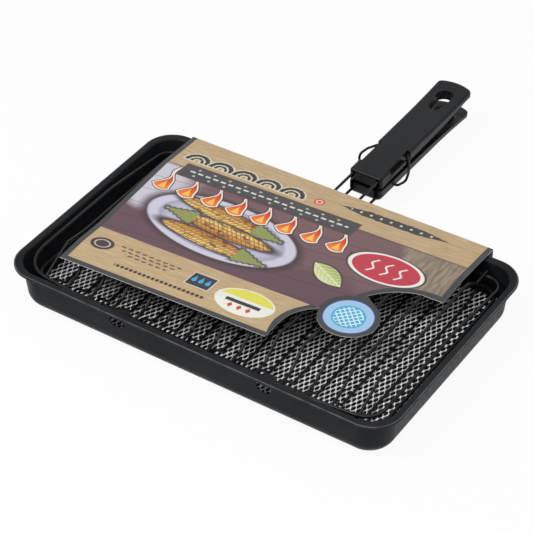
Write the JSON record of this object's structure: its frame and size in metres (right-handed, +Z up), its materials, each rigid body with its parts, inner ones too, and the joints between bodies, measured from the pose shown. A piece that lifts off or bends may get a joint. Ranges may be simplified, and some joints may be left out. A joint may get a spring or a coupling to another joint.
{
  "type": "fish grill basket",
  "caption": "Fish grill basket: drip tray with a ceramic mesh, two hinged wire nets with a two-part clip-shut handle, and a folded card on top",
  "frame": {"origin": "middle of the tray's flat bottom, on the surface that it stands on", "axes": "+X to the right along the long side, +Y from the front wall towards the handle, +Z up"},
  "size_m": [0.35, 0.4167, 0.0479],
  "materials": {
    "tray_enamel": "black heat-resistant coating on steel sheet, satin",
    "ceramic_coat": "light grey ceramic coating on expanded mesh, matt",
    "coated_wire": "dark non-stick coating on steel wire, satin",
    "grip_phenolic": "black phenolic resin, fine satin",
    "plated_steel": "zinc-plated steel",
    "printed_card": "coated printed paperboard, semi-matt"
  },
  "bodies": {
    "tray": {"drip_tray": "tray_enamel", "ceramic_mesh": "ceramic_coat"},
    "lower_net": {"lower_frame": "coated_wire", "lower_handle_wire": "coated_wire", "lower_grip": "grip_phenolic", "lower_clamp_plate": "plated_steel", "lower_grip_screw": "plated_steel", "hinge_strap_left": "coated_wire", "hinge_strap_right": "coated_wire", "lower_bar_01": "coated_wire", "lower_bar_02": "coated_wire", "lower_bar_03": "coated_wire", "lower_bar_04": "coated_wire", "lower_bar_05": "coated_wire", "lower_bar_06": "coated_wire", "lower_bar_07": "coated_wire", "lower_bar_08": "coated_wire", "lower_bar_09": "coated_wire", "lower_bar_10": "coated_wire", "lower_bar_11": "coated_wire", "lower_bar_12": "coated_wire", "lower_bar_13": "coated_wire", "lower_bar_14": "coated_wire"},
    "upper_net": {"upper_frame": "coated_wire", "upper_handle_wire": "coated_wire", "upper_grip": "grip_phenolic", "upper_clamp_plate": "plated_steel", "upper_grip_screw": "plated_steel", "upper_bar_01": "coated_wire", "upper_bar_02": "coated_wire", "upper_bar_03": "coated_wire", "upper_bar_04": "coated_wire", "upper_bar_05": "coated_wire", "upper_bar_06": "coated_wire", "upper_bar_07": "coated_wire", "upper_bar_08": "coated_wire", "upper_bar_09": "coated_wire", "upper_bar_10": "coated_wire", "upper_bar_11": "coated_wire", "upper_bar_12": "coated_wire", "upper_bar_13": "coated_wire", "upper_bar_14": "coated_wire"},
    "latch": {"latch_clip": "coated_wire"},
    "sleeve": {"card_sleeve": "printed_card"}
  },
  "joints": [
    {"name": "basket_lift", "type": "slide", "parent": "tray", "child": "lower_net", "axis": [0, 0, 1], "range_m": [0, 0.15]},
    {"name": "basket_open", "type": "hinge", "parent": "lower_net", "child": "upper_net", "pos_m": [0, -0.1006, 0.0331], "axis": [1, 0, 0], "range_deg": [0, 90]},
    {"name": "latch_swing", "type": "hinge", "parent": "lower_net", "child": "latch", "pos_m": [0, 0.1742, 0.0173], "axis": [1, 0, 0], "range_deg": [0, 85]},
    {"name": "sleeve_lift", "type": "slide", "parent": "upper_net", "child": "sleeve", "axis": [0, 0, 1], "range_m": [0, 0.1]}
  ]
}
